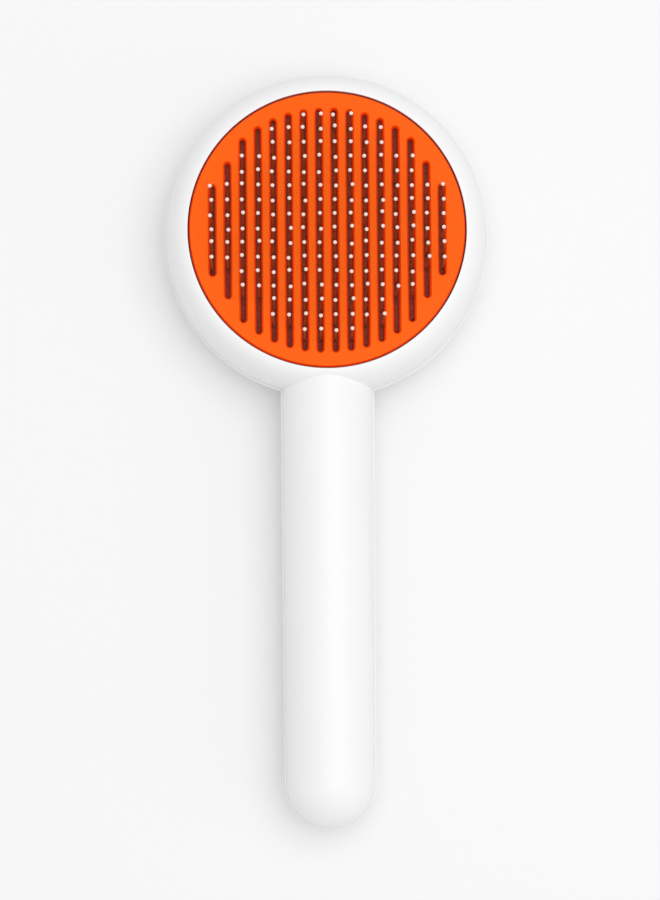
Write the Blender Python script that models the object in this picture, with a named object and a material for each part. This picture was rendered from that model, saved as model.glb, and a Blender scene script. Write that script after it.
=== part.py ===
"""Self-cleaning slicker brush: a round head full of fine steel pins, a slotted ejector plate that slides
forward over the pins when the button at the back is pressed, and a hollow two-shell handle.

Frame: +Z is the way the pins point, +Y runs from the handle to the head, and the origin is the centre of the
brush's box on the face it rests on. Everything in the head is modelled about the head's own axis, which an
empty places; heights are measured from the rest face.
"""

import math

import bmesh
import bpy

MM = 0.001

# ---- overall sizes -------------------------------------------------------------------------------------
OVERALL_LENGTH = 206.0 * MM
HEAD_RADIUS = 44.35 * MM  # the rear shell's rim, the widest part of the head
PARTING_Z = 15.0 * MM  # the plane where the front and rear shells meet
FRONT_Z = 29.0 * MM  # the front edge of the head's ring
HANDLE_NECK_RADIUS = 12.72 * MM
HANDLE_END_RADIUS = 12.43 * MM

# ---- shells --------------------------------------------------------------------------------------------
WALL = 2.0 * MM
HANDLE_WALL = 2.2 * MM
LEDGE = 0.5 * MM  # how far the rear shell's rim stands out past the front shell
PARTING_GAP = 0.3 * MM
RING_POWER = 1.9  # the ring's section is a superellipse, a little leaner than an ellipse
FRONT_RISE = 1.1  # the handle's front half is this many times as deep as half of a round bar
DOME_POWER = 2.0
DOME_WIDTH = 13.35 * MM  # from the rim in to the flat on the back, which the brush lies on
GUIDE_WALL = 1.35 * MM  # the sleeve inside the ring that the ejector's skirt slides in
TONGUE_THICKNESS = 0.9 * MM
TONGUE_HEIGHT = 1.8 * MM
CAVITY_STEP = 3.0 * MM  # the rear wall is thick for this far below the rim, to carry the tongue
POST_RADIUS = 3.0 * MM
PEG_RADIUS = 1.5 * MM
PEG_LENGTH = 3.0 * MM
POST_COUNT = 3
BULKHEAD = 4.0 * MM  # solid stretch between the ring and the handle's hollow

# ---- ejector plate -------------------------------------------------------------------------------------
RUNNING_GAP = 0.35 * MM  # between the ejector plate and the ring's bore
RING_WIDTH = 6.2 * MM  # from the bore to the front shell's rim
PLATE_THICKNESS = 2.2 * MM
PLATE_EDGE = 0.4 * MM
SKIRT_THICKNESS = 1.4 * MM
SKIRT_STEP = 0.3 * MM  # the skirt is this much smaller than the plate's edge
SKIRT_ABOVE_TONGUE = 0.85 * MM
SLOT_PITCH = 4.12 * MM
SLOT_WIDTH = 1.8 * MM
SLOT_RIM = 4.4 * MM  # plain rim left outside the slots
SLOT_FIELD_POWER = 2.1
SHORT_SLOT = 0.9  # the inner slot of each outermost pair keeps this share of its length
LEG_WIDTH = 10.0 * MM
LEG_FOOT = 1.8 * MM  # the bar under each leg's window
LEG_COUNT = 4
TRAVEL = 8.4 * MM  # how far the ejector slides; the pins' tips stand this far above the plate at rest

# ---- pins ----------------------------------------------------------------------------------------------
PIN_PITCH = 3.85 * MM
PIN_SPREAD = 0.24 * MM  # a staple's legs are this much wider apart than two slots
PIN_END_MARGIN = 2.0 * MM  # from the last pin to the end of its slot
PIN_WIRE = 0.6 * MM
BEAD_RADIUS = 0.6 * MM
PIN_FOOT_Y = -1.2 * MM  # the rows' offset from the slots' centre at the pins' feet
PIN_TIP_Y = 1.05 * MM  # and at their tips: the pins lean away from the handle
PIN_BEND = 1.0 * MM  # from the plate's face up to the bend
PIN_TO_SCREW = 3.4 * MM  # no pin stands closer than this to a screw
GLUE_BAR_HALF_WIDTH = 2.5 * MM
GLUE_BAR_HEIGHT = 0.6 * MM

# ---- pin carrier: cushion, base and backing plate ------------------------------------------------------
SEAT_GAP = 0.3 * MM  # between pieces that rest on each other
CUSHION_BELOW_PLATE = 0.4 * MM
CUSHION_THICKNESS = 1.6 * MM
CUSHION_INSET = 1.7 * MM
BASE_THICKNESS = 1.7 * MM
BASE_SIDE_GAP = 0.4 * MM  # between the pin base and the ejector's skirt
BACKING_THICKNESS = 1.5 * MM
BACKING_INSET = 2.2 * MM
SLIT_WIDTH = 1.2 * MM
SLIT_END = 0.7 * MM
BASE_SCREW_INSET = 5.0 * MM
BASE_SCREW_COUNT = 4
BOSS_RADIUS = 3.2 * MM
SPIGOT_RADIUS = 5.0 * MM
SPIGOT_HEIGHT = 2.0 * MM

# ---- button, pusher frame and spring -------------------------------------------------------------------
BUTTON_RADIUS = 18.0 * MM
BUTTON_GAP = 0.4 * MM
BUTTON_RECESS = 0.5 * MM  # the button's face lies this far inside the back
BUTTON_DISH = 1.2 * MM
BUTTON_WALL = 1.8 * MM
BUTTON_EDGE = 0.7 * MM
COLLAR_THICKNESS = 1.6 * MM
STOP_GAP = 0.5 * MM  # left under the backing plate at the end of the travel
PUSHER_THICKNESS = 1.8 * MM
PUSHER_OVERLAP = 2.1 * MM  # the pusher frame's disc is this much wider than the button's hole
PUSHER_ARM_WIDTH = 8.0 * MM
ARM_TIP_WIDTH = 6.0 * MM
SPRING_HOLE_RADIUS = 8.0 * MM
BUTTON_SCREW_COUNT = 4
BUTTON_SCREW_INSET = 4.8 * MM  # from the button's side to its screws
BUTTON_BOSS_RADIUS = 2.4 * MM
SPRING_RADIUS = 6.05 * MM  # to the middle of the wire
SPRING_WIRE = 0.9 * MM
SPRING_TURNS = 7.0

# ---- screws --------------------------------------------------------------------------------------------
SHANK_RADIUS = 1.1 * MM
HEAD_RADIUS_OF_SCREW = 2.1 * MM
HEAD_HEIGHT = 1.3 * MM
SCREW_GAP = 0.3 * MM
BASE_SCREW_LENGTH = 12.0 * MM
BUTTON_SCREW_LENGTH = 6.0 * MM

# ---- facets --------------------------------------------------------------------------------------------
HEAD_SEGMENTS = 48
INNER_SEGMENTS = 32
HANDLE_SEGMENTS = 28
SMALL_SEGMENTS = 10
CURVE_STEPS = 6
SLOT_END_STEPS = 4
PIN_SIDES = 3

# ---- places that follow from the sizes -----------------------------------------------------------------
HEAD_Y = OVERALL_LENGTH / 2 - HEAD_RADIUS
HANDLE_END_Y = -(OVERALL_LENGTH - HEAD_RADIUS)  # in the head's frame
REST_RADIUS = HEAD_RADIUS - DOME_WIDTH
FRONT_RIM_RADIUS = HEAD_RADIUS - LEDGE
BORE_RADIUS = FRONT_RIM_RADIUS - RING_WIDTH
PLATE_RADIUS = BORE_RADIUS - RUNNING_GAP
PLATE_BACK_Z = FRONT_Z - PLATE_THICKNESS
SKIRT_OUTER = PLATE_RADIUS - SKIRT_STEP
SKIRT_INNER = SKIRT_OUTER - SKIRT_THICKNESS
SLOT_FIELD_RADIUS = PLATE_RADIUS - SLOT_RIM
REAR_TOP_Z = PARTING_Z - PARTING_GAP / 2
FRONT_BOTTOM_Z = PARTING_Z + PARTING_GAP / 2
SKIRT_BOTTOM_Z = REAR_TOP_Z + TONGUE_HEIGHT + SKIRT_ABOVE_TONGUE

CUSHION_TOP_Z = PLATE_BACK_Z - CUSHION_BELOW_PLATE
CUSHION_BOTTOM_Z = CUSHION_TOP_Z - CUSHION_THICKNESS
BASE_TOP_Z = CUSHION_BOTTOM_Z - SEAT_GAP
BASE_BOTTOM_Z = BASE_TOP_Z - BASE_THICKNESS
BACKING_TOP_Z = BASE_BOTTOM_Z - SEAT_GAP
BACKING_BOTTOM_Z = BACKING_TOP_Z - BACKING_THICKNESS
BASE_RADIUS = SKIRT_INNER - BASE_SIDE_GAP
BASE_SCREW_RADIUS = BASE_RADIUS - BASE_SCREW_INSET
GLUE_BAR_BOTTOM_Z = BACKING_TOP_Z + 0.05 * MM
GLUE_BAR_TOP_Z = GLUE_BAR_BOTTOM_Z + GLUE_BAR_HEIGHT
TIP_Z = FRONT_Z + TRAVEL  # the middle of the beads
PIN_BEND_Z = FRONT_Z + PIN_BEND

BUTTON_HOLE_RADIUS = BUTTON_RADIUS + BUTTON_GAP
PUSHER_TOP_Z = BACKING_BOTTOM_Z - STOP_GAP - TRAVEL
PUSHER_BOTTOM_Z = PUSHER_TOP_Z - PUSHER_THICKNESS
COLLAR_TOP_Z = PUSHER_BOTTOM_Z - SEAT_GAP
LEG_BOTTOM_Z = PUSHER_BOTTOM_Z - SEAT_GAP - LEG_FOOT
BUTTON_TOP_Z = PUSHER_BOTTOM_Z - SEAT_GAP
BUTTON_FLOOR_Z = BUTTON_RECESS + BUTTON_DISH + BUTTON_WALL
BUTTON_SCREW_RADIUS = BUTTON_RADIUS - BUTTON_SCREW_INSET


# ---- modelling helpers ---------------------------------------------------------------------------------
def clear_scene():
    for obj in list(bpy.data.objects):
        bpy.data.objects.remove(obj, do_unlink=True)


def make_material(name, colour, roughness, metallic=0.0):
    material = bpy.data.materials.new(name)
    material.use_nodes = True
    shader = material.node_tree.nodes["Principled BSDF"]
    shader.inputs["Base Color"].default_value = (*colour, 1.0)
    shader.inputs["Roughness"].default_value = roughness
    shader.inputs["Metallic"].default_value = metallic
    return material


def make_empty(name, parent=None, location=(0.0, 0.0, 0.0)):
    empty = bpy.data.objects.new(name, None)
    bpy.context.scene.collection.objects.link(empty)
    empty.parent = parent
    empty.location = location
    return empty


def mesh_of(name, bm):
    """The bmesh as a mesh, with doubles merged and its faces turned outwards."""
    bmesh.ops.remove_doubles(bm, verts=bm.verts, dist=1e-7)
    bmesh.ops.recalc_face_normals(bm, faces=bm.faces)
    mesh = bpy.data.meshes.new(name)
    bm.to_mesh(mesh)
    bm.free()
    return mesh


def add_node(name, mesh, parent, material, location=(0.0, 0.0, 0.0), smooth=True):
    obj = bpy.data.objects.new(name, mesh)
    bpy.context.scene.collection.objects.link(obj)
    obj.parent = parent
    obj.location = location
    mesh.materials.append(material)
    if smooth:
        mesh.shade_smooth()
        mesh.set_sharp_from_angle(angle=math.radians(35))
    return obj


def add_helper(name, mesh, parent):
    """A shape that only cuts or joins another: it isn't part of the brush."""
    obj = bpy.data.objects.new(name, mesh)
    bpy.context.scene.collection.objects.link(obj)
    obj.parent = parent
    obj.hide_render = True
    obj.display_type = "WIRE"
    return obj


def boolean(target, other, operation="DIFFERENCE"):
    modifier = target.modifiers.new(f"{operation.lower()} {other.name}", "BOOLEAN")
    modifier.operation = operation
    modifier.object = other
    return modifier


def skin(bm, rings, closed):
    """Joins rings of points into a surface. An end ring of one point makes a tip, any other a flat cap."""
    loops = [[bm.verts.new(point) for point in ring] for ring in rings]
    for low, high in zip(loops, loops[1:] + (loops[:1] if closed else [])):
        count = max(len(low), len(high))
        for i in range(count):
            j = (i + 1) % count
            corners = [low[i % len(low)], low[j % len(low)], high[j % len(high)], high[i % len(high)]]
            bm.faces.new(list(dict.fromkeys(corners)))
    if not closed:
        for loop in (loops[0], loops[-1]):
            if len(loop) > 1:
                bm.faces.new(loop)


def lathe(name, profile, segments, axis="Z"):
    """Turns a profile of (radius, height) about an axis. A profile that starts on the axis also ends there;
    any other is closed into a ring."""
    closed = profile[0][0] > 0
    rings = []
    for i, (radius, height) in enumerate(profile):
        if radius > 0:
            ring = circle(radius, segments, phase=0.0)
        else:
            beside = profile[1] if i == 0 else profile[-2]
            if beside[1] == height:  # a flat end, which the skin caps
                continue
            ring = [(0.0, 0.0)]
        rings.append([(x, y, height) if axis == "Z" else (x, height, y) for x, y in ring])
    bm = bmesh.new()
    skin(bm, rings, closed)
    return mesh_of(name, bm)


def add_prism(bm, outline, bottom, top):
    """Adds a straight prism on a flat outline to a bmesh."""
    face = bm.faces.new([bm.verts.new((x, y, bottom)) for x, y in outline])
    raised = bmesh.ops.extrude_face_region(bm, geom=[face])
    moved = [item for item in raised["geom"] if isinstance(item, bmesh.types.BMVert)]
    bmesh.ops.translate(bm, verts=moved, vec=(0.0, 0.0, top - bottom))


def circle(radius, segments, x=0.0, y=0.0, phase=0.25):
    """A polygon about (x, y), whose first corner is turned by the phase, in segments."""
    turns = [2 * math.pi * (i + phase) / segments for i in range(segments)]
    return [(x + radius * math.cos(t), y + radius * math.sin(t)) for t in turns]


def rectangle(x0, x1, y0, y1):
    return [(x0, y0), (x1, y0), (x1, y1), (x0, y1)]


def prisms(name, outlines, bottom, top):
    """One mesh of several straight prisms that stand apart."""
    bm = bmesh.new()
    for outline in outlines:
        add_prism(bm, outline, bottom, top)
    return mesh_of(name, bm)


def polar(radius, index, count, offset_deg=0.0):
    turn = 2 * math.pi * index / count + math.radians(offset_deg)
    return radius * math.cos(turn), radius * math.sin(turn)


def quarter(centre_r, centre_z, across, up, power, steps):
    """A quarter of a superellipse from (centre_r + across, centre_z) to (centre_r, centre_z + up)."""
    points = []
    for i in range(steps + 1):
        turn = math.pi / 2 * i / steps
        c, s = max(math.cos(turn), 0.0), math.sin(turn)
        points.append((centre_r + across * c ** (2 / power), centre_z + up * s ** (2 / power)))
    return points


# ---- layout of the slots and the pins ------------------------------------------------------------------
def slot_half_length(x):
    """Half of a slot's length: the slots' ends lie on a superellipse inside the plate's rim."""
    share = min(abs(x) / SLOT_FIELD_RADIUS, 1.0)
    return SLOT_FIELD_RADIUS * (1 - share**SLOT_FIELD_POWER) ** (1 / SLOT_FIELD_POWER)


def pair_centres():
    """The x of each pair of slots, from the left: a staple's two legs stand in the two slots of a pair."""
    pairs = 0
    while True:
        outer = (2 * pairs + 1.5) * SLOT_PITCH
        if outer >= SLOT_FIELD_RADIUS or slot_half_length(outer) < PIN_END_MARGIN + PIN_PITCH:
            break
        pairs += 1
    return [(2 * i + 1) * SLOT_PITCH for i in range(-pairs, pairs)]


def slot_lines():
    """The (x, half length) of each slot, from the left."""
    centres = [x + side * SLOT_PITCH / 2 for x in pair_centres() for side in (-1, 1)]
    short = (centres[1], centres[-2])
    return [(x, slot_half_length(x) * (SHORT_SLOT if x in short else 1.0)) for x in centres]


def base_screw_places():
    return [polar(BASE_SCREW_RADIUS, i, BASE_SCREW_COUNT, 45) for i in range(BASE_SCREW_COUNT)]


def staple_rows(pair_x):
    """The y of each staple of a pair of slots: evenly spaced, but none where a screw stands."""
    outer = abs(pair_x) + SLOT_PITCH / 2
    reach = slot_half_length(outer) - PIN_END_MARGIN
    count = int(reach / PIN_PITCH + 0.5)
    rows = [(i + 0.5) * PIN_PITCH for i in range(-count, count)]
    legs = (pair_x - SLOT_PITCH / 2, pair_x + SLOT_PITCH / 2)
    return [y for y in rows if all(math.hypot(x - sx, y - sy) > PIN_TO_SCREW
                                   for x in legs for sx, sy in base_screw_places())]


def slot_outline(x, half_length):
    """A slot's outline: two straight sides and two half-round ends."""
    half = SLOT_WIDTH / 2
    reach = half_length - half
    points = []
    for end, start_deg in ((1, 0), (-1, 180)):
        for i in range(SLOT_END_STEPS + 1):
            turn = math.radians(start_deg + 180 * i / SLOT_END_STEPS)
            points.append((x + half * math.cos(turn), end * reach + half * math.sin(turn)))
    return points


# ---- shells --------------------------------------------------------------------------------------------
def handle_profile(shrink, start_y):
    """The handle's outline about its own axis, from start_y inside the head to the round end."""
    neck = HANDLE_NECK_RADIUS - shrink
    end = HANDLE_END_RADIUS - shrink
    end_centre = HANDLE_END_Y + HANDLE_END_RADIUS
    profile = [(0.0, start_y), (neck, start_y)]
    for i in range(CURVE_STEPS + 1):
        turn = math.pi / 2 * i / CURVE_STEPS
        radius = end * math.cos(turn) if i < CURVE_STEPS else 0.0
        profile.append((radius, end_centre - end * math.sin(turn)))
    return profile


def handle_solid(name, shrink, start_y, head, rise=1.0):
    """A round bar about the handle's axis, stretched upwards by rise."""
    obj = add_helper(name, lathe(name, handle_profile(shrink, start_y), HANDLE_SEGMENTS, "Y"), head)
    obj.location = (0.0, 0.0, PARTING_Z)
    obj.scale = (1.0, 1.0, rise)
    return obj


def post_places():
    """The posts stand evenly along the handle's hollow."""
    first = -(HEAD_RADIUS + BULKHEAD)
    last = HANDLE_END_Y + HANDLE_END_RADIUS
    return [(0.0, first + (last - first) * (i + 0.7) / POST_COUNT) for i in range(POST_COUNT)]


def half_space(name, bottom, top, head):
    reach = OVERALL_LENGTH
    return add_helper(name, prisms(name, [rectangle(-reach, reach, -reach, reach)], bottom, top), head)


def front_profile(inset):
    """The ring's outside, or the same curve moved into its wall, from the parting plane to the bore."""
    return quarter(BORE_RADIUS, FRONT_BOTTOM_Z, FRONT_RIM_RADIUS - BORE_RADIUS - inset,
                   FRONT_Z - FRONT_BOTTOM_Z - inset, RING_POWER, CURVE_STEPS)


def make_front_shell(head, material):
    """The ring with its guide sleeve, and the front half of the handle."""
    outside = front_profile(0.0)
    sleeve = BORE_RADIUS + GUIDE_WALL
    inside = [(r, z) for r, z in front_profile(WALL) if r > sleeve + WALL / 4]
    profile = outside + [(BORE_RADIUS, SKIRT_BOTTOM_Z), (sleeve, SKIRT_BOTTOM_Z),
                         (sleeve, inside[-1][1])] + inside[::-1]
    shell = add_node("front_shell", lathe("front_shell", profile, HEAD_SEGMENTS), head, material)

    handle = handle_solid("front_handle", LEDGE, -BORE_RADIUS / 2, head, FRONT_RISE)
    mask_profile = ([(0.0, PARTING_Z - 2 * WALL)]
                    + [(FRONT_RIM_RADIUS - WALL / 2, PARTING_Z - 2 * WALL)]
                    + front_profile(WALL / 2)
                    + [(BORE_RADIUS, FRONT_Z + WALL), (0.0, FRONT_Z + WALL)])
    boolean(handle, add_helper("front_mask", lathe("front_mask", mask_profile, HEAD_SEGMENTS), head))
    hollow = handle_solid("front_hollow", LEDGE + HANDLE_WALL, -(HEAD_RADIUS + BULKHEAD), head, FRONT_RISE)
    boolean(handle, hollow)
    top = PARTING_Z + (HANDLE_END_RADIUS - LEDGE - HANDLE_WALL / 2) * FRONT_RISE
    posts = prisms("front_posts", [circle(POST_RADIUS, SMALL_SEGMENTS, *p) for p in post_places()],
                   FRONT_BOTTOM_Z - WALL, top)
    boolean(handle, add_helper("front_posts", posts, head), "UNION")
    boolean(handle, half_space("below_parting", -FRONT_Z, FRONT_BOTTOM_Z, head))
    sockets = prisms("sockets", [circle(PEG_RADIUS + SEAT_GAP, SMALL_SEGMENTS, *p) for p in post_places()],
                     PARTING_Z - WALL, PARTING_Z + PEG_LENGTH + 2 * SEAT_GAP)
    boolean(handle, add_helper("sockets", sockets, head))
    boolean(shell, handle, "UNION")
    return shell


def rear_profile(inset):
    """The back's outside, or the same curve moved into its wall, from the rest face to the rim."""
    across = HEAD_RADIUS - REST_RADIUS - inset
    up = REAR_TOP_Z - inset
    curve = quarter(REST_RADIUS, 0.0, across, up, DOME_POWER, CURVE_STEPS)
    return [(r, REAR_TOP_Z - z) for r, z in curve[::-1]]


def make_rear_shell(head, material):
    """The back of the head with its button collar and screw bosses, and the rear half of the handle."""
    tongue_outer = FRONT_RIM_RADIUS - WALL - SEAT_GAP
    tongue_inner = tongue_outer - TONGUE_THICKNESS
    step_z = REAR_TOP_Z - CAVITY_STEP
    inner = [(r, z) for r, z in rear_profile(WALL) if r < tongue_inner - WALL / 4 and z < step_z]
    collar_outer = BUTTON_HOLE_RADIUS + COLLAR_THICKNESS
    profile = ([(BUTTON_HOLE_RADIUS, BUTTON_EDGE), (BUTTON_HOLE_RADIUS + BUTTON_EDGE, 0.0)]
               + rear_profile(0.0)
               + [(tongue_outer, REAR_TOP_Z), (tongue_outer, REAR_TOP_Z + TONGUE_HEIGHT),
                  (tongue_inner, REAR_TOP_Z + TONGUE_HEIGHT), (tongue_inner, step_z)]
               + inner[::-1]
               + [(collar_outer, WALL), (collar_outer, COLLAR_TOP_Z), (BUTTON_HOLE_RADIUS, COLLAR_TOP_Z)])
    shell = add_node("rear_shell", lathe("rear_shell", profile, HEAD_SEGMENTS), head, material)

    handle = handle_solid("rear_handle", 0.0, -REST_RADIUS, head)
    mask_profile = ([(0.0, -WALL)] + [(REST_RADIUS, -WALL)] + rear_profile(WALL / 2)
                    + [(HEAD_RADIUS - WALL / 2, PARTING_Z + 2 * WALL), (0.0, PARTING_Z + 2 * WALL)])
    boolean(handle, add_helper("rear_mask", lathe("rear_mask", mask_profile, HEAD_SEGMENTS), head))
    boolean(handle, handle_solid("rear_hollow", HANDLE_WALL, -(HEAD_RADIUS + BULKHEAD), head))
    bottom = PARTING_Z - HANDLE_END_RADIUS + HANDLE_WALL / 2
    posts = prisms("rear_posts", [circle(POST_RADIUS, SMALL_SEGMENTS, *p) for p in post_places()],
                   bottom, PARTING_Z + WALL)
    boolean(handle, add_helper("rear_posts", posts, head), "UNION")
    boolean(handle, half_space("above_parting", REAR_TOP_Z, FRONT_Z * 2, head))
    pegs = prisms("pegs", [circle(PEG_RADIUS, SMALL_SEGMENTS, *p) for p in post_places()],
                  REAR_TOP_Z - WALL, PARTING_Z + PEG_LENGTH)
    boolean(handle, add_helper("pegs", pegs, head), "UNION")
    boolean(shell, handle, "UNION")

    places = base_screw_places()
    bosses = prisms("bosses", [circle(BOSS_RADIUS, SMALL_SEGMENTS, *p) for p in places],
                    WALL / 2, BACKING_BOTTOM_Z - SEAT_GAP)
    boolean(shell, add_helper("bosses", bosses, head), "UNION")
    bores = prisms("boss_bores", [circle(SHANK_RADIUS + SCREW_GAP, SMALL_SEGMENTS, *p) for p in places],
                   BACKING_BOTTOM_Z - BASE_SCREW_LENGTH, BACKING_BOTTOM_Z + WALL)
    boolean(shell, add_helper("boss_bores", bores, head))
    return shell


# ---- ejector: slotted plate, pusher frame, button ------------------------------------------------------
def leg_angles():
    return [2 * math.pi * i / LEG_COUNT for i in range(LEG_COUNT)]


def radial_block(angle, r0, r1, width):
    """The outline of a straight block that points away from the axis."""
    c, s = math.cos(angle), math.sin(angle)
    corners = ((r0, -width / 2), (r1, -width / 2), (r1, width / 2), (r0, width / 2))
    return [(r * c - t * s, r * s + t * c) for r, t in corners]


def make_ejector_plate(ejector, material):
    """The slotted plate, its skirt, and four legs with windows that the pusher frame's arms snap into."""
    profile = [(0.0, FRONT_Z), (PLATE_RADIUS - PLATE_EDGE, FRONT_Z), (PLATE_RADIUS, FRONT_Z - PLATE_EDGE),
               (PLATE_RADIUS, PLATE_BACK_Z), (SKIRT_OUTER, PLATE_BACK_Z), (SKIRT_OUTER, SKIRT_BOTTOM_Z),
               (SKIRT_INNER, SKIRT_BOTTOM_Z), (SKIRT_INNER, PLATE_BACK_Z), (0.0, PLATE_BACK_Z)]
    plate = add_node("ejector_plate", lathe("ejector_plate", profile, HEAD_SEGMENTS), ejector, material)
    outlines = [slot_outline(*line) for line in slot_lines()]
    slots = prisms("slots", outlines, PLATE_BACK_Z - WALL, FRONT_Z + WALL)
    boolean(plate, add_helper("slots", slots, ejector))

    band_top = SKIRT_BOTTOM_Z + SKIRT_THICKNESS
    band = [(SKIRT_OUTER, LEG_BOTTOM_Z), (SKIRT_OUTER, band_top), (SKIRT_INNER, band_top),
            (SKIRT_INNER, LEG_BOTTOM_Z)]
    legs = add_helper("legs", lathe("legs", band, HEAD_SEGMENTS), ejector)
    blocks = prisms("leg_blocks", [radial_block(a, SKIRT_INNER - WALL, SKIRT_OUTER + WALL, LEG_WIDTH)
                                   for a in leg_angles()], 0.0, FRONT_Z)
    boolean(legs, add_helper("leg_blocks", blocks, ejector), "INTERSECT")
    windows = prisms("windows", [radial_block(a, SKIRT_INNER - WALL, SKIRT_OUTER + WALL,
                                              ARM_TIP_WIDTH + 2 * SEAT_GAP) for a in leg_angles()],
                     PUSHER_BOTTOM_Z - SEAT_GAP, PUSHER_TOP_Z + SEAT_GAP)
    boolean(legs, add_helper("windows", windows, ejector))
    boolean(plate, legs, "UNION")
    return plate


def button_screw_places():
    return [polar(BUTTON_SCREW_RADIUS, i, BUTTON_SCREW_COUNT, 45) for i in range(BUTTON_SCREW_COUNT)]


def countersink_profile(gap):
    """A countersunk screw's outline, or with a gap the seat that it goes in."""
    top = PUSHER_TOP_Z
    if gap:
        head, shank, bottom = HEAD_RADIUS_OF_SCREW + gap, SHANK_RADIUS + gap, PUSHER_BOTTOM_Z - WALL / 2
        return [(0.0, top + WALL), (head, top + WALL), (head, top), (shank, top - HEAD_HEIGHT),
                (shank, bottom), (0.0, bottom)]
    return [(0.0, top), (HEAD_RADIUS_OF_SCREW, top), (SHANK_RADIUS, top - HEAD_HEIGHT),
            (SHANK_RADIUS, top - BUTTON_SCREW_LENGTH), (0.0, top - BUTTON_SCREW_LENGTH - SHANK_RADIUS)]


def make_pusher_frame(ejector, material):
    """A disc on the button with four arms that carry the ejector plate's legs."""
    disc_radius = BUTTON_HOLE_RADIUS + PUSHER_OVERLAP
    profile = [(SPRING_HOLE_RADIUS, PUSHER_BOTTOM_Z), (disc_radius, PUSHER_BOTTOM_Z),
               (disc_radius, PUSHER_TOP_Z), (SPRING_HOLE_RADIUS, PUSHER_TOP_Z)]
    frame = add_node("pusher_frame", lathe("pusher_frame", profile, INNER_SEGMENTS), ejector, material)
    shoulder = SKIRT_INNER - SEAT_GAP
    outlines = [radial_block(a, SPRING_HOLE_RADIUS + WALL, shoulder, PUSHER_ARM_WIDTH) for a in leg_angles()]
    arms = add_helper("arms", prisms("arms", outlines, PUSHER_BOTTOM_Z, PUSHER_TOP_Z), ejector)
    tips = prisms("arm_tips", [radial_block(a, shoulder - WALL, SKIRT_OUTER - SEAT_GAP, ARM_TIP_WIDTH)
                               for a in leg_angles()], PUSHER_BOTTOM_Z, PUSHER_TOP_Z)
    boolean(arms, add_helper("arm_tips", tips, ejector), "UNION")
    boolean(frame, arms, "UNION")
    for i, (x, y) in enumerate(button_screw_places(), 1):
        seat = add_helper(f"button_screw_seat_{i}",
                          lathe(f"seat_{i}", countersink_profile(SCREW_GAP), SMALL_SEGMENTS), ejector)
        seat.location = (x, y, 0.0)
        boolean(frame, seat)
    return frame


def make_push_button(ejector, material):
    """A dished cup that slides in the rear shell's collar, with a spigot for the spring and screw bosses."""
    face = BUTTON_RECESS
    inner = BUTTON_RADIUS - BUTTON_WALL
    dish_edge = BUTTON_RADIUS - 2 * BUTTON_EDGE
    dish = [(dish_edge * i / CURVE_STEPS, face + BUTTON_DISH * (1 - (i / CURVE_STEPS) ** 2))
            for i in range(CURVE_STEPS + 1)]
    spigot_top = BUTTON_FLOOR_Z + SPIGOT_HEIGHT
    profile = (dish + [(BUTTON_RADIUS - BUTTON_EDGE / 3, face + BUTTON_EDGE / 3),
                       (BUTTON_RADIUS, face + BUTTON_EDGE), (BUTTON_RADIUS, BUTTON_TOP_Z),
                       (inner, BUTTON_TOP_Z), (inner, BUTTON_FLOOR_Z), (SPIGOT_RADIUS, BUTTON_FLOOR_Z),
                       (SPIGOT_RADIUS, spigot_top), (0.0, spigot_top)])
    button = add_node("push_button", lathe("push_button", profile, INNER_SEGMENTS), ejector, material)
    places = button_screw_places()
    bosses = prisms("button_bosses", [circle(BUTTON_BOSS_RADIUS, SMALL_SEGMENTS, *p) for p in places],
                    BUTTON_FLOOR_Z - BUTTON_WALL / 2, BUTTON_TOP_Z)
    boolean(button, add_helper("button_bosses", bosses, ejector), "UNION")
    bores = prisms("button_bores", [circle(SHANK_RADIUS + SCREW_GAP, SMALL_SEGMENTS, *p) for p in places],
                   PUSHER_TOP_Z - BUTTON_SCREW_LENGTH - SHANK_RADIUS - SCREW_GAP, BUTTON_TOP_Z + WALL)
    boolean(button, add_helper("button_bores", bores, ejector))
    return button


def make_button_screws(ejector, material):
    mesh = lathe("button_screw", countersink_profile(0.0), SMALL_SEGMENTS)
    for i, (x, y) in enumerate(button_screw_places(), 1):
        add_node(f"button_screw_{i}", mesh.copy(), ejector, material, (x, y, 0.0))


# ---- pin carrier ---------------------------------------------------------------------------------------
def slit_outlines():
    """One long slit for each row of pins, as long as its rows of staples."""
    outlines = []
    for pair_x in pair_centres():
        rows = staple_rows(pair_x)
        for side in (-1, 1):
            x = pair_x + side * (SLOT_PITCH + PIN_SPREAD) / 2
            outlines.append(rectangle(x - SLIT_WIDTH / 2, x + SLIT_WIDTH / 2, PIN_FOOT_Y + rows[0] - SLIT_END,
                                      PIN_FOOT_Y + rows[-1] + SLIT_END))
    return outlines


def make_pin_cushion(head, material):
    """A rubber sheet on the pin base, which lets the pins give a little."""
    radius = BASE_RADIUS - CUSHION_INSET
    profile = [(0.0, CUSHION_BOTTOM_Z), (radius, CUSHION_BOTTOM_Z), (radius, CUSHION_TOP_Z),
               (0.0, CUSHION_TOP_Z)]
    cushion = add_node("pin_cushion", lathe("pin_cushion", profile, INNER_SEGMENTS), head, material)
    slits = prisms("cushion_slits", slit_outlines(), CUSHION_BOTTOM_Z - WALL, CUSHION_TOP_Z + WALL)
    boolean(cushion, add_helper("cushion_slits", slits, head))
    holes = prisms("cushion_holes", [circle(HEAD_RADIUS_OF_SCREW + SCREW_GAP, SMALL_SEGMENTS, *p)
                                     for p in base_screw_places()],
                   CUSHION_BOTTOM_Z - WALL, CUSHION_TOP_Z + WALL)
    boolean(cushion, add_helper("cushion_holes", holes, head))
    return cushion


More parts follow.
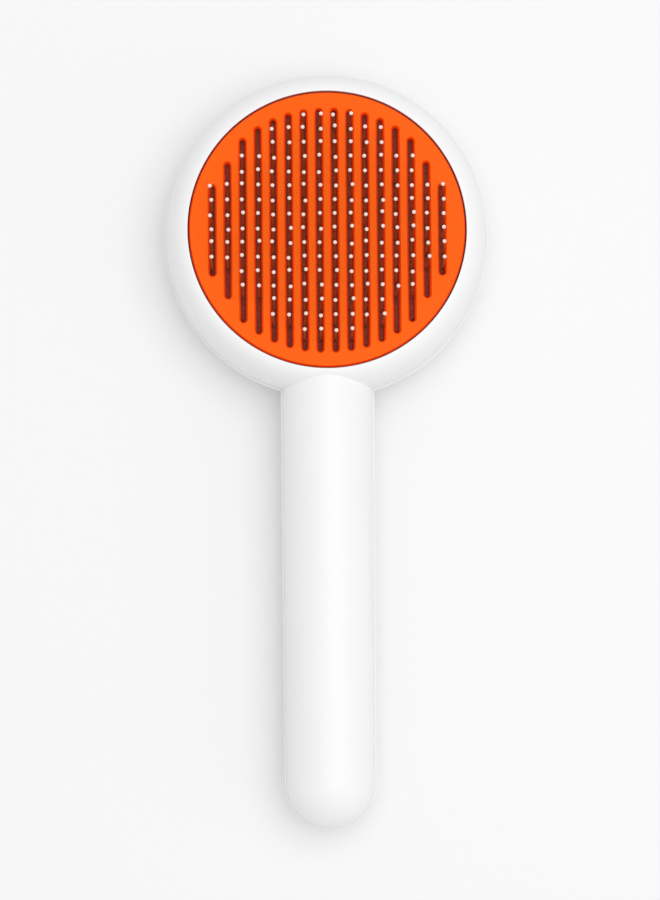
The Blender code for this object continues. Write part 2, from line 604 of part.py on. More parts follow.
def make_pin_base(head, material):
    """The stiff disc that the staples pass through, with a groove below for each column of crowns."""
    profile = [(0.0, BASE_BOTTOM_Z), (BASE_RADIUS, BASE_BOTTOM_Z), (BASE_RADIUS, BASE_TOP_Z),
               (0.0, BASE_TOP_Z)]
    base = add_node("pin_base", lathe("pin_base", profile, INNER_SEGMENTS), head, material)
    slits = prisms("base_slits", slit_outlines(), BASE_BOTTOM_Z - WALL, BASE_TOP_Z + WALL)
    boolean(base, add_helper("base_slits", slits, head))
    reach = GLUE_BAR_HALF_WIDTH + SEAT_GAP
    grooves = [rectangle(x - reach, x + reach, PIN_FOOT_Y + staple_rows(x)[0] - SLIT_END,
                         PIN_FOOT_Y + staple_rows(x)[-1] + SLIT_END) for x in pair_centres()]
    cut = prisms("base_grooves", grooves, BASE_BOTTOM_Z - WALL, GLUE_BAR_TOP_Z + SEAT_GAP)
    boolean(base, add_helper("base_grooves", cut, head))
    holes = prisms("base_holes", [circle(SHANK_RADIUS + SCREW_GAP, SMALL_SEGMENTS, *p)
                                  for p in base_screw_places()], BASE_BOTTOM_Z - WALL, BASE_TOP_Z + WALL)
    boolean(base, add_helper("base_holes", holes, head))
    return base


def make_backing_plate(head, material):
    """The plate that clamps the staples' crowns from behind and holds the spring's upper end."""
    radius = BASE_RADIUS - BACKING_INSET
    profile = [(0.0, BACKING_BOTTOM_Z - SPIGOT_HEIGHT), (SPIGOT_RADIUS, BACKING_BOTTOM_Z - SPIGOT_HEIGHT),
               (SPIGOT_RADIUS, BACKING_BOTTOM_Z), (radius, BACKING_BOTTOM_Z), (radius, BACKING_TOP_Z),
               (0.0, BACKING_TOP_Z)]
    backing = add_node("backing_plate", lathe("backing_plate", profile, INNER_SEGMENTS), head, material)
    holes = prisms("backing_holes", [circle(SHANK_RADIUS + SCREW_GAP, SMALL_SEGMENTS, *p)
                                     for p in base_screw_places()],
                   BACKING_BOTTOM_Z - WALL, BACKING_TOP_Z + WALL)
    boolean(backing, add_helper("backing_holes", holes, head))
    return backing


def make_base_screws(head, material):
    """Pan-head screws through the pin base and the backing plate into the rear shell's bosses."""
    seat = BASE_TOP_Z + SEAT_GAP / 2
    end = BACKING_BOTTOM_Z - BASE_SCREW_LENGTH + SCREW_GAP + SHANK_RADIUS
    profile = [(0.0, seat + HEAD_HEIGHT), (HEAD_RADIUS_OF_SCREW * 0.8, seat + HEAD_HEIGHT),
               (HEAD_RADIUS_OF_SCREW, seat + HEAD_HEIGHT / 2), (HEAD_RADIUS_OF_SCREW, seat),
               (SHANK_RADIUS, seat), (SHANK_RADIUS, end), (0.0, end - SHANK_RADIUS)]
    mesh = lathe("base_screw", profile, SMALL_SEGMENTS)
    for i, (x, y) in enumerate(base_screw_places(), 1):
        add_node(f"base_screw_{i}", mesh.copy(), head, material, (x, y, 0.0))


def add_pin(bm, x, foot_y, tip_y):
    """One leg of a staple: a wire that stands up, bends away from the handle and ends in a bead."""
    wire = PIN_WIRE / 2
    neck_z = TIP_Z - BEAD_RADIUS
    share = (neck_z - PIN_BEND_Z) / (TIP_Z - PIN_BEND_Z)
    stations = [(foot_y, GLUE_BAR_TOP_Z - GLUE_BAR_HEIGHT / 2, wire), (foot_y, PIN_BEND_Z, wire),
                (foot_y + (tip_y - foot_y) * share, neck_z, wire), (tip_y, TIP_Z, BEAD_RADIUS),
                (tip_y, TIP_Z + BEAD_RADIUS, wire)]
    skin(bm, [[(px, py, z) for px, py in circle(size, PIN_SIDES, x, y)] for y, z, size in stations], False)


def make_pin_columns(head, material):
    """The staples of each pair of slots: their crowns are held in one bar of glue, so they are one piece."""
    for number, pair_x in enumerate(pair_centres(), 1):
        rows = staple_rows(pair_x)
        past = SLIT_END - SEAT_GAP
        bar = rectangle(pair_x - GLUE_BAR_HALF_WIDTH, pair_x + GLUE_BAR_HALF_WIDTH,
                        PIN_FOOT_Y + rows[0] - past, PIN_FOOT_Y + rows[-1] + past)
        name = f"pin_column_{number}"
        column = add_node(name, prisms(name, [bar], GLUE_BAR_BOTTOM_Z, GLUE_BAR_TOP_Z), head, material,
                          smooth=False)
        bm = bmesh.new()
        for y in rows:
            for side in (-1, 1):
                add_pin(bm, pair_x + side * (SLOT_PITCH + PIN_SPREAD) / 2, y + PIN_FOOT_Y, y + PIN_TIP_Y)
        boolean(column, add_helper(f"pins_{number}", mesh_of(f"pins_{number}", bm), head), "UNION")


# ---- return spring -------------------------------------------------------------------------------------
def make_return_spring(head, material):
    """A compression spring between the button and the backing plate, with its end turns closed."""
    bottom = BUTTON_FLOOR_Z + SEAT_GAP + SPRING_WIRE / 2
    top = BACKING_BOTTOM_Z - SEAT_GAP - SPRING_WIRE / 2
    per_turn = 12
    count = int(SPRING_TURNS * per_turn)
    curve = bpy.data.curves.new("return_spring", "CURVE")
    curve.dimensions = "3D"
    curve.bevel_depth = SPRING_WIRE / 2
    curve.bevel_resolution = 0
    curve.use_fill_caps = True
    spline = curve.splines.new("POLY")
    spline.points.add(count)
    closed = SPRING_WIRE * 1.15  # the rise of each end turn
    for i, point in enumerate(spline.points):
        turn = i / per_turn
        free = SPRING_TURNS - 2.0
        if turn < 1.0:
            z = bottom + closed * turn
        elif turn > SPRING_TURNS - 1.0:
            z = top - closed * (SPRING_TURNS - turn)
        else:
            z = bottom + closed + (top - bottom - 2 * closed) * (turn - 1.0) / free
        angle = 2 * math.pi * turn
        point.co = (SPRING_RADIUS * math.cos(angle), SPRING_RADIUS * math.sin(angle), z, 1.0)
    spring = bpy.data.objects.new("return_spring", curve)
    bpy.context.scene.collection.objects.link(spring)
    spring.parent = head
    curve.materials.append(material)
    return spring


def main():
    clear_scene()
    white = make_material("white_abs", (0.86, 0.86, 0.85), 0.35)
    orange = make_material("orange_abs", (1.0, 0.13, 0.008), 0.4)
    nylon = make_material("grey_nylon", (0.05, 0.045, 0.045), 0.6)
    rubber = make_material("black_rubber", (0.02, 0.02, 0.02), 0.8)
    steel = make_material("stainless_steel", (0.62, 0.61, 0.6), 0.25, 1.0)
    zinc = make_material("zinc_plated_steel", (0.5, 0.5, 0.5), 0.35, 1.0)

    head = make_empty("head_axis", location=(0.0, HEAD_Y, 0.0))
    ejector = make_empty("ejector_axis", parent=head)

    make_front_shell(head, white)
    make_rear_shell(head, white)
    make_pin_base(head, nylon)
    make_pin_cushion(head, rubber)
    make_backing_plate(head, nylon)
    make_base_screws(head, zinc)
    make_pin_columns(head, steel)
    make_return_spring(head, steel)
    make_ejector_plate(ejector, orange)
    make_pusher_frame(ejector, nylon)
    make_push_button(ejector, white)
    make_button_screws(ejector, zinc)


main()
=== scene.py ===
"""Finishes for the self-cleaning slicker brush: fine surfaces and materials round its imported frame.

Sizes that the frame gives are read from it, in metres; the rest are the properties below. Every piece is a
surface worked out on a grid, with its place in its mesh and its object at the origin.
"""

import math

import bmesh
import bpy
import numpy as np
from bpy.props import FloatProperty, FloatVectorProperty, IntProperty, PointerProperty
from mathutils import Matrix, Vector


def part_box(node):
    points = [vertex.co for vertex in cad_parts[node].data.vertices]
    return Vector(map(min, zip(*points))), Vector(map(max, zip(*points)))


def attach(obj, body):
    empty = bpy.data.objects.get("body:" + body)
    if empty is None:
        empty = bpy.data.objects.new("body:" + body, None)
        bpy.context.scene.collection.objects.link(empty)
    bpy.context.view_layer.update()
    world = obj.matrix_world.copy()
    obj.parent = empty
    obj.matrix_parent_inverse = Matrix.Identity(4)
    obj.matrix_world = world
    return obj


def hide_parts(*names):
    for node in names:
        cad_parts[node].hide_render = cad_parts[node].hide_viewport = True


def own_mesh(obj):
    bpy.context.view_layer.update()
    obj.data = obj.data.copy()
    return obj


bl_info = {
    "name": "Slicker Brush",
    "version": (1, 0, 0),
    "blender": (4, 5, 0),
    "location": "3D View > Sidebar > Brush",
    "description": "Builds the shells, ejector plate, pins and button of a self-cleaning slicker brush",
    "category": "Add Mesh",
}

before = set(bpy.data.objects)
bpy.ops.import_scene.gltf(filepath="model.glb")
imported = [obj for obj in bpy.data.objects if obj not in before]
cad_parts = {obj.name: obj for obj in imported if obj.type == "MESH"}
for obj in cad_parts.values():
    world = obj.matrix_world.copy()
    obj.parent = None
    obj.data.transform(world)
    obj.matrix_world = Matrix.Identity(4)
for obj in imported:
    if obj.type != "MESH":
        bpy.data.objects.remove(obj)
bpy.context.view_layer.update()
MM = 0.001


# ---- places read from the frame --------------------------------------------------------------------
def span(node, axis):
    """The lowest and the highest place of a node along an axis."""
    low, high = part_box(node)
    return float(low[axis]), float(high[axis])


def radius_of(node):
    """Half of the width of a round node."""
    low, high = span(node, 0)
    return (high - low) / 2


PLATE_X, PLATE_Y, PLATE_Z = (span("ejector_plate", axis) for axis in range(3))
HEAD_X = sum(PLATE_X) / 2
HEAD_Y = sum(PLATE_Y) / 2
PLATE_RADIUS = radius_of("ejector_plate")
PLATE_FACE = PLATE_Z[1]
LEG_FOOT = PLATE_Z[0]
FRONT_RIM = radius_of("front_shell")
REAR_RIM = radius_of("rear_shell")
FRONT_EDGE = span("front_shell", 2)[0]
HANDLE_TIP = span("rear_shell", 1)[0]
BUTTON_RADIUS = radius_of("push_button")
BUTTON_BACK, BUTTON_FRONT = span("push_button", 2)
CUSHION_RADIUS = radius_of("pin_cushion")
CUSHION_Z = span("pin_cushion", 2)
SPRING_Z = span("return_spring", 2)
SPRING_RADIUS = radius_of("return_spring")
COLUMNS = sorted((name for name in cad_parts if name.startswith("pin_column")),
                 key=lambda name: sum(span(name, 0)))
PIN_FOOT, PIN_TOP = span(COLUMNS[0], 2)

# ---- sizes of what only shows when the head is open ------------------------------------------------
SLEEVE = 1.35 * MM  # wall of the sleeve inside the ring that guides the plate's skirt
SLEEVE_END = FRONT_EDGE + 2.35 * MM  # the lower end of the sleeve and of the skirt
SKIRT_STEP = 0.3 * MM  # the skirt is this much smaller than the plate
SKIRT = 1.4 * MM
LEG_HALF_WIDTH = 5 * MM
WINDOW_HALF_WIDTH = 3.3 * MM  # of the opening in each leg that the pusher frame's arm goes through
WINDOW_GAP = 0.3 * MM  # above and below that arm
BUTTON_GAP = 0.4 * MM
BUTTON_WALL = 1.8 * MM
COLLAR = 1.6 * MM  # wall of the collar round the button
COLLAR_MOUTH = 0.7 * MM  # rounding where the collar meets the back
TONGUE = 0.9 * MM
TONGUE_GAP = 0.3 * MM
TONGUE_HEIGHT = 1.8 * MM
TONGUE_STEP = 3 * MM  # the rear wall is thick for this far below the rim
SPIGOT_RADIUS, SPIGOT_HEIGHT = 5 * MM, 2 * MM  # on the button's floor, inside the spring
CUSHION_EDGE = 0.2 * MM
CUT_PAST = 2 * MM  # how far a cutter reaches past what it cuts

# ---- shape of a staple -----------------------------------------------------------------------------
CROWN_RISE = 0.35 * MM  # the crown's middle, above the foot of the CAD's column
CROWN_BEND = 0.45 * MM  # radius of the bend from the crown to a leg
KNEE_BEND = 0.9 * MM  # length along the leg that the knee's bend takes on each side
KNEE_PULL = 0.22  # how far the bend's middle is pulled towards its inner side, as a share of that
NECK_SINK = 0.9  # the wire ends this share of a bead's radius short of its middle
SCATTER_LIMIT = 1.6  # in spreads
TIP_MARGIN = 2.5  # in bead radii, from a tip to its slot's end

# ---- floor and camera ------------------------------------------------------------------------------
FLOOR_REACH = 12.0  # metres to each side
FLOOR_DROP = 0.02 * MM  # below the face that the brush lies on
CAMERA_TURN = (-3.818, 1.281, 0.405)  # degrees about X, Y and Z
CAMERA_PLACE = (-17.73 * MM, -113.12 * MM, 830.2 * MM)  # from the head's axis
LENS_MM, SENSOR_MM = 120.0, 36.0


# ---- colours and nodes -----------------------------------------------------------------------------
def linear(hex_colour):
    """A colour of #RRGGBB in sRGB, as the linear numbers that shaders take."""
    values = np.array([int(hex_colour[i:i + 2], 16) for i in (1, 3, 5)]) / 255
    return tuple(np.where(values <= 0.04045, values / 12.92, ((values + 0.055) / 1.055) ** 2.4))


def node(tree, kind, settings=(), **links):
    """Adds a node, sets its attributes and the values of its inputs, and links inputs to other sockets."""
    added = tree.nodes.new(kind)
    for name, value in dict(settings).items():
        if name in added.inputs:
            added.inputs[name].default_value = value
        else:
            setattr(added, name, value)
    for name, socket in links.items():
        tree.links.new(socket, added.inputs[name.replace("_", " ")])
    return added


def new_material(name, **values):
    """A material with one Principled BSDF, whose plain sockets take the given values."""
    material = bpy.data.materials.new(name)
    material.use_nodes = True
    shader = material.node_tree.nodes["Principled BSDF"]
    for key, value in values.items():
        shader.inputs[key.replace("_", " ")].default_value = value
    return material, material.node_tree, shader


def noise(tree, size_mm, vector=None, **settings):
    """Noise about size_mm across, in the object's own coordinates unless another vector is given."""
    vector = vector or node(tree, "ShaderNodeTexCoord").outputs["Object"]
    return node(tree, "ShaderNodeTexNoise", {"Scale": 1 / (size_mm * MM), **settings}, Vector=vector)


def uneven_gloss(tree, shader, source, low, high):
    """Lets the roughness drift between two values as the noise does."""
    rough = node(tree, "ShaderNodeMapRange", {"To Min": low, "To Max": high}, Value=source.outputs["Fac"])
    tree.links.new(rough.outputs["Result"], shader.inputs["Roughness"])


def raised(tree, shader, source, depth_mm):
    """Raises the surface as the noise does, by depth_mm at most."""
    bump = node(tree, "ShaderNodeBump", {"Strength": 1.0, "Distance": depth_mm * MM},
                Height=source.outputs["Fac"])
    tree.links.new(bump.outputs["Normal"], shader.inputs["Normal"])


def moulded(name, colour, roughness, grain_mm, grain_depth, tint=0.02, **values):
    """Injection-moulded plastic. The mould's spark-eroded steel leaves an even fine grain, the melt leaves
    slow changes of gloss over centimetres, and the colour drifts by a percent or two."""
    material, tree, shader = new_material(name, Base_Color=(*colour, 1), Roughness=roughness, IOR=1.54,
                                          **values)
    grain = noise(tree, grain_mm, Detail=2.0, Roughness=0.6)
    flow = noise(tree, 28, Detail=3.0)
    uneven_gloss(tree, shader, flow, roughness - 0.05, roughness + 0.05)
    drift = node(tree, "ShaderNodeMapRange", {"To Min": 1 - tint, "To Max": 1 + tint},
                 Value=flow.outputs["Fac"])
    shade = node(tree, "ShaderNodeHueSaturation", {"Color": (*colour, 1)}, Value=drift.outputs["Result"])
    tree.links.new(shade.outputs["Color"], shader.inputs["Base Color"])
    raised(tree, shader, grain, grain_depth)
    return material


def white_abs(look):
    """ABS, moulded and left as it comes from a fine satin mould: bright, soft highlights, no sharp image."""
    return moulded("satin_white_abs", look.white, 0.5, 0.35, 0.004, 0.01)


def orange_abs(look):
    """ABS coloured through with orange masterbatch, from a slightly coarser mould than the shells. Its colour
    is painted darker and redder down the slots' walls and in the rebate round the plate, as painted shade for
    the
    shade and bounced orange light there: the depth attribute goes from 0 on the face to 1 at the foot of the
    rounding."""
    material = moulded("satin_orange_abs", look.orange, 0.42, 0.30, 0.006, 0.03, Specular_IOR_Level=0.06)
    tree = material.node_tree
    # Painted shade: a ramp from the orange to a darker red by depth down the slots and in the rebate.
    depth = node(tree, "ShaderNodeAttribute", {"attribute_name": "painted_shade_depth"})
    ramp = node(tree, "ShaderNodeValToRGB", Fac=depth.outputs["Fac"])
    ramp.color_ramp.elements[0].position, ramp.color_ramp.elements[1].position = 0.0, 0.55
    ramp.color_ramp.elements[0].color = (*look.orange, 1)
    ramp.color_ramp.elements[1].color = (*look.painted_shade_orange, 1)
    shade = next(n for n in tree.nodes if n.type == "HUE_SAT")
    tree.links.new(ramp.outputs["Color"], shade.inputs["Color"])
    return material


def dark_nylon(look):
    """Glass-filled nylon: dark grey and dull, with short fibres that catch the light as specks."""
    return moulded("glass_filled_nylon", look.nylon, 0.58, 0.5, 0.012, 0.06)


def cushion_rubber(look):
    """Die-cut sheet rubber: dull, with talc left in its pores as paler mottling about half a millimetre
    wide."""
    material, tree, shader = new_material("sheet_rubber", Roughness=0.8, IOR=1.52)
    talc = noise(tree, 0.5, Detail=4.0, Roughness=0.7)
    ramp = node(tree, "ShaderNodeValToRGB", Fac=talc.outputs["Fac"])
    ramp.color_ramp.elements[0].position, ramp.color_ramp.elements[1].position = 0.35, 0.7
    ramp.color_ramp.elements[0].color = (*(c * 0.45 for c in look.rubber), 1)
    ramp.color_ramp.elements[1].color = (*(c * 1.7 for c in look.rubber), 1)
    tree.links.new(ramp.outputs["Color"], shader.inputs["Base Color"])
    raised(tree, shader, talc, 0.03)
    return material


def drawn_wire(look):
    """Stainless wire, drawn through a die: bright, with faint scratches along its length, here upright ones
    0.05 mm apart."""
    material, tree, shader = new_material("drawn_stainless_wire", Base_Color=(*look.steel, 1), Metallic=1.0)
    place = node(tree, "ShaderNodeTexCoord")
    along = node(tree, "ShaderNodeMapping", {"Scale": (1, 1, 0.05)}, Vector=place.outputs["Object"])
    lines = noise(tree, 0.05, along.outputs["Vector"], Detail=1.0)
    uneven_gloss(tree, shader, lines, 0.18, 0.38)
    return material


def plated_steel(_):
    """Bright zinc plate on turned screws: bluish grey, uneven in gloss over about a millimetre."""
    material, tree, shader = new_material("zinc_plate", Base_Color=(*linear("#C3C6CA"), 1), Metallic=1.0)
    uneven_gloss(tree, shader, noise(tree, 1.0, Detail=3.0), 0.25, 0.45)
    return material


def bead_epoxy(look):
    """Epoxy beads, dipped and cured on the wire's ends: off-white and glossy."""
    material, tree, shader = new_material("dipped_epoxy_bead", Base_Color=(*look.bead, 1), Roughness=0.16,
                                          IOR=1.55)
    uneven_gloss(tree, shader, noise(tree, 2.0, Detail=1.0), 0.1, 0.24)
    return material


def seamless_paper(look):
    """Matt background paper, with a faint tooth about a millimetre across."""
    material, tree, shader = new_material("seamless_paper", Base_Color=(*look.paper, 1), Roughness=0.9)
    shader.inputs["Specular IOR Level"].default_value = 0.2
    raised(tree, shader, noise(tree, 1.2, Detail=3.0), 0.02)
    return material


MAKERS = {"white": white_abs, "orange": orange_abs, "nylon": dark_nylon, "rubber": cushion_rubber,
          "wire": drawn_wire, "zinc": plated_steel, "bead": bead_epoxy, "paper": seamless_paper}
MADE = {}


def finish(name, look):
    """The material of that name, made the first time that a piece asks for it."""
    if name not in MADE:
        MADE[name] = MAKERS[name](look)
    return MADE[name]


# ---- grids and meshes ------------------------------------------------------------------------------
def quads(rows, columns, wrap_rows=False, wrap_columns=False):
    """The four corners of each cell of a grid numbered row by row. A wrapped way joins its last row or column
    to its first."""
    r = np.arange(rows if wrap_rows else rows - 1)[:, None]
    c = np.arange(columns if wrap_columns else columns - 1)[None, :]
    r2, c2 = (r + 1) % rows, (c + 1) % columns
    corners = [r * columns + c, r * columns + c2, r2 * columns + c2, r2 * columns + c]
    return np.stack([np.broadcast_to(k, (r.size, c.size)) for k in corners], -1).reshape(-1, 4)


def mesh_from(name, sheets, caps=()):
    """One mesh of several sheets, each (points, wrap_rows, wrap_columns) with points of shape (rows, columns,
    3), and flat caps, each a loop of points. Points that coincide are merged and faces turned outwards."""
    verts, faces, first = [], [], 0
    for points, wrap_rows, wrap_columns in sheets:
        rows, columns = points.shape[:2]
        verts.append(points.reshape(-1, 3))
        faces += (quads(rows, columns, wrap_rows, wrap_columns) + first).tolist()
        first += rows * columns
    for loop in caps:
        verts.append(loop)
        faces.append(list(range(first, first + len(loop))))
        first += len(loop)
    mesh = bpy.data.meshes.new(name)
    mesh.from_pydata(np.concatenate(verts).tolist(), [], faces)
    bm = bmesh.new()
    bm.from_mesh(mesh)
    bmesh.ops.remove_doubles(bm, verts=bm.verts, dist=1e-7)
    bmesh.ops.dissolve_degenerate(bm, edges=bm.edges, dist=1e-8)
    bmesh.ops.recalc_face_normals(bm, faces=bm.faces)
    bm.to_mesh(mesh)
    bm.free()
    return mesh


def capped(sheets):
    """What mesh_from takes for sheets that wrap round and have a flat cap on each end."""
    return ([(sheet, False, True) for sheet in sheets],
            [loop for sheet in sheets for loop in (sheet[0], sheet[-1])])


def new_object(name, mesh):
    """An object in the scene with its origin at the world's."""
    obj = bpy.data.objects.new(name, mesh)
    bpy.context.scene.collection.objects.link(obj)
    return obj


def combine(obj, steps):
    """Applies Booleans in turn, each (operation, mesh), and leaves the object with the plain result."""
    for operation, mesh in steps:
        other = new_object("tool", mesh)
        modifier = obj.modifiers.new(operation, "BOOLEAN")
        modifier.operation, modifier.object, modifier.solver = operation, other, "EXACT"
        graph = bpy.context.evaluated_depsgraph_get()
        result = bpy.data.meshes.new_from_object(obj.evaluated_get(graph))
        obj.modifiers.clear()
        obj.data, old = result, obj.data
        bpy.data.meshes.remove(old)
        bpy.data.objects.remove(other)
    return obj


def settle(obj, material, body, nodes, sharp_deg=25.0, weighted=True):
    """Gives a piece its material and shading, and ties it to the frame."""
    obj.data.materials.clear()
    obj.data.materials.append(material)
    obj.data.shade_smooth()
    obj.data.set_sharp_from_angle(angle=math.radians(sharp_deg))
    if weighted:
        normals = obj.modifiers.new("even shading", "WEIGHTED_NORMAL")
        normals.keep_sharp = True
    if nodes:
        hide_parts(*nodes)
    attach(obj, body)
    return obj


def turned(profile, segments):
    """A surface of revolution round the head's upright axis: at angle t a profile point (r, z) lies at
    (r cos(t), r sin(t), z) from that axis."""
    r, z = np.asarray(profile, float).T
    turn = np.linspace(0, 2 * np.pi, segments, endpoint=False)
    points = np.empty((len(r), segments, 3))
    points[..., 0] = HEAD_X + r[:, None] * np.cos(turn)
    points[..., 1] = HEAD_Y + r[:, None] * np.sin(turn)
    points[..., 2] = z[:, None]
    return points


def bow(start, end, across_first, power, steps):
    """A quarter of a superellipse between two (radius, height) points, without its last point. It leaves the
    start upright if across_first is false: |a|^power + |b|^power = 1, with a and b the shares of the way."""
    turn = np.linspace(0, np.pi / 2, steps, endpoint=False)
    a, b = np.cos(turn) ** (2 / power), np.sin(turn) ** (2 / power)
    r0, z0 = start
    r1, z1 = end
    if across_first:
        return np.stack([r0 + (r1 - r0) * b, z1 + (z0 - z1) * a], -1)
    return np.stack([r1 + (r0 - r1) * a, z0 + (z1 - z0) * b], -1)


# ---- shells ----------------------------------------------------------------------------------------
def ring_section(sizes, inset=0.0):
    """The ring's section from its rim up to its bore, as (radius, height) rows."""
    bore = PLATE_RADIUS + sizes.running_gap
    section = bow((FRONT_RIM - inset, FRONT_EDGE), (bore + sizes.lip, PLATE_FACE - inset), False,
                  sizes.ring_power, 48)
    return np.vstack([section, [(bore + sizes.lip, PLATE_FACE - inset)]])


def front_ring_profile(sizes):
    """A closed section: the outside with a softened rim, the rounded lip, the bore, the guide sleeve and the
    inside of the wall."""
    bore = PLATE_RADIUS + sizes.running_gap
    sleeve = bore + SLEEVE
    outside = soften_rim(ring_section(sizes), FRONT_EDGE, sizes.edge, 1)
    lip = bow((bore + sizes.lip, PLATE_FACE), (bore, PLATE_FACE - sizes.lip), True, 2.0, 6)
    inside = ring_section(sizes, sizes.wall)[::-1]
    inside = inside[inside[:, 0] > sleeve + 0.4 * MM]
    return np.vstack([outside[:-1], lip, [(bore, PLATE_FACE - sizes.lip), (bore, SLEEVE_END),
                                          (sleeve, SLEEVE_END), (sleeve, inside[0, 1])], inside])


def soften_rim(section, edge_z, radius, way):
    """Rounds the corner where a section of (radius, height) starts at edge_z: within one edge radius of the
    edge plane the surface goes inwards by e - sqrt(e^2 - (e - h)^2), h being the height over the plane."""
    steps = edge_z + way * radius * (1 - np.cos(np.linspace(0, np.pi / 2, 6)))
    far = section[(section[:, 1] - edge_z) * way > radius * 1.05]
    order = np.argsort(section[:, 1])
    near = np.stack([np.interp(steps, section[order, 1], section[order, 0]), steps], -1)
    both = np.vstack([near, far])
    both[:, 0] -= rim_inset((both[:, 1] - edge_z) * way, radius)
    return both


def rim_inset(height, radius):
    """How far a rounded corner stands back at a height over its edge: e - sqrt(e^2 - (e - h)^2)."""
    left = np.clip(radius - height, 0, radius)
    return radius - np.sqrt(radius**2 - left**2)


def dome_section(sizes, inset=0.0):
    """The back's section from its rim down to the flat that it lies on, as (radius, height) rows."""
    top = FRONT_EDGE - sizes.parting
    rest = REAR_RIM - sizes.dome_width
    section = bow((REAR_RIM - inset, top), (rest, inset), False, 2.0, 48)
    return np.vstack([section, [(rest, inset)]])


def rear_dome_profile(sizes):
    """A closed section: the softened rim, the dome, the flat, the button's collar and the inside with its
    step and tongue."""
    top = FRONT_EDGE - sizes.parting
    hole = BUTTON_RADIUS + BUTTON_GAP
    collar = hole + COLLAR
    tongue_out = FRONT_RIM - sizes.wall - TONGUE_GAP
    tongue_in = tongue_out - TONGUE
    outside = soften_rim(dome_section(sizes), top, sizes.edge, -1)
    mouth = bow((hole + COLLAR_MOUTH, 0.0), (hole, COLLAR_MOUTH), True, 2.0, 6)
    inside = dome_section(sizes, sizes.wall)[::-1]
    inside = inside[(inside[:, 0] < tongue_in - 0.5 * MM) & (inside[:, 1] < top - TONGUE_STEP)]
    return np.vstack([outside, mouth, [(hole, COLLAR_MOUTH), (hole, BUTTON_FRONT), (collar, BUTTON_FRONT),
                                       (collar, sizes.wall)], inside,
                      [(tongue_in, top - TONGUE_STEP), (tongue_in, top + TONGUE_HEIGHT),
                       (tongue_out, top + TONGUE_HEIGHT), (tongue_out, top)]])


def grip_sheet(sizes, way, rise, shrink, edge_z, head_section, columns=56):
    """Half of a round-ended tapered bar, in level slices. At slice angle s the slice is r cos(s) wide to each
    side and rise r sin(s) from the bar's axis; its outline runs down one side, round the end and up the
    other. It starts where the slice meets the head's own section, R(z), at y = centre - sqrt(R^2 - x^2)."""
    axis_z = FRONT_EDGE - sizes.parting / 2
    neck, end = sizes.neck_radius - shrink, sizes.end_radius - shrink
    end_y = HANDLE_TIP + sizes.end_radius
    edge = abs(edge_z - axis_z)
    soft = edge + sizes.edge * (1 - np.cos(np.linspace(0, np.pi / 2, 6)))
    fine = np.arcsin(np.clip(soft / (end * rise), 0, 1))
    slices = np.r_[fine, np.linspace(fine[-1], np.pi / 2, 40)[1:]]
    along = np.linspace(0, 1, columns)
    cosine, sine = np.cos(slices)[:, None], np.sin(slices)[:, None]

    def half_width(radius):
        """A slice's half width, r cos(s) less the rounding at the joint line."""
        inset = rim_inset(radius * rise * sine - edge, sizes.edge)
        return np.maximum(radius * cosine - inset, 0.0)

    order = np.argsort(head_section[:, 1])
    start_z = axis_z + way * neck * rise * np.sin(slices)
    reach = np.interp(start_z, head_section[order, 1], head_section[order, 0])
    start_y = HEAD_Y - np.sqrt(np.maximum(reach**2 - half_width(neck)[:, 0] ** 2, 0))
    y = start_y[:, None] + (end_y - start_y[:, None]) * along
    share = np.clip((HEAD_Y - REAR_RIM - y) / (HEAD_Y - REAR_RIM - end_y), 0, 1)
    radius = neck + (end - neck) * share
    side = np.stack([half_width(radius), y, axis_z + way * rise * radius * sine], -1)
    turn = np.linspace(0, np.pi, 49)[1:-1]
    wide = half_width(np.full((1, turn.size), end))
    tip = np.stack([wide * np.cos(turn), end_y - wide * np.sin(turn),
                    np.broadcast_to(axis_z + way * rise * end * sine, wide.shape)], -1)
    other = side[:, ::-1] * np.array([-1, 1, 1])
    sheet = np.concatenate([side, tip, other], axis=1)
    sheet[..., 0] += HEAD_X
    return sheet


def grip_shell(name, sizes, way, rise, shrink, edge_z, section):
    """A hollow half bar: an outer and an inner sheet, joined along their edges and at the head."""
    outer = grip_sheet(sizes, way, rise, shrink, edge_z, section)
    inner = grip_sheet(sizes, way, rise, shrink + sizes.grip_wall, edge_z, section)
    joins = [np.stack([outer[0], inner[0]]), np.stack([outer[:, 0], inner[:, 0]]),
             np.stack([outer[:, -1], inner[:, -1]])]
    return mesh_from(name, [(sheet, False, False) for sheet in [outer, inner, *joins]])


class ShellSizes(bpy.types.PropertyGroup):
    ring_power: FloatProperty(name="Ring fullness", description="2 is an ellipse, less is leaner",
                              default=1.9, min=1.2, max=3.0)
    rise: FloatProperty(name="Rise", description="Depth of the handle's front over half of its width",
                        default=1.1, min=0.8, max=1.3)
    lip: FloatProperty(name="Lip radius", description="Rounding of the ring's inner edge", default=0.08 * MM,
                       unit="LENGTH")
    edge: FloatProperty(name="Edge radius", description="Rounding of both shells at the joint line",
                        default=0.25 * MM, unit="LENGTH")
    wall: FloatProperty(name="Wall", description="Thickness of the head's walls", default=2.0 * MM,
                        unit="LENGTH")
    grip_wall: FloatProperty(name="Grip wall", description="Thickness of the handle's walls",
                             default=2.2 * MM, unit="LENGTH")
    running_gap: FloatProperty(name="Running gap", description="Gap round the ejector plate",
                               default=0.3 * MM, unit="LENGTH")
    parting: FloatProperty(name="Joint gap", description="Gap between the two shells", default=0.3 * MM,
                           unit="LENGTH")
    dome_width: FloatProperty(name="Dome width", description="From the rim in to the flat of the back",
                              default=13.35 * MM, unit="LENGTH")
    neck_radius: FloatProperty(name="Neck radius", description="Handle's radius at the head",
                               default=12.72 * MM, unit="LENGTH")
    end_radius: FloatProperty(name="End radius", description="Handle's radius at its end",
                              default=12.43 * MM, unit="LENGTH")


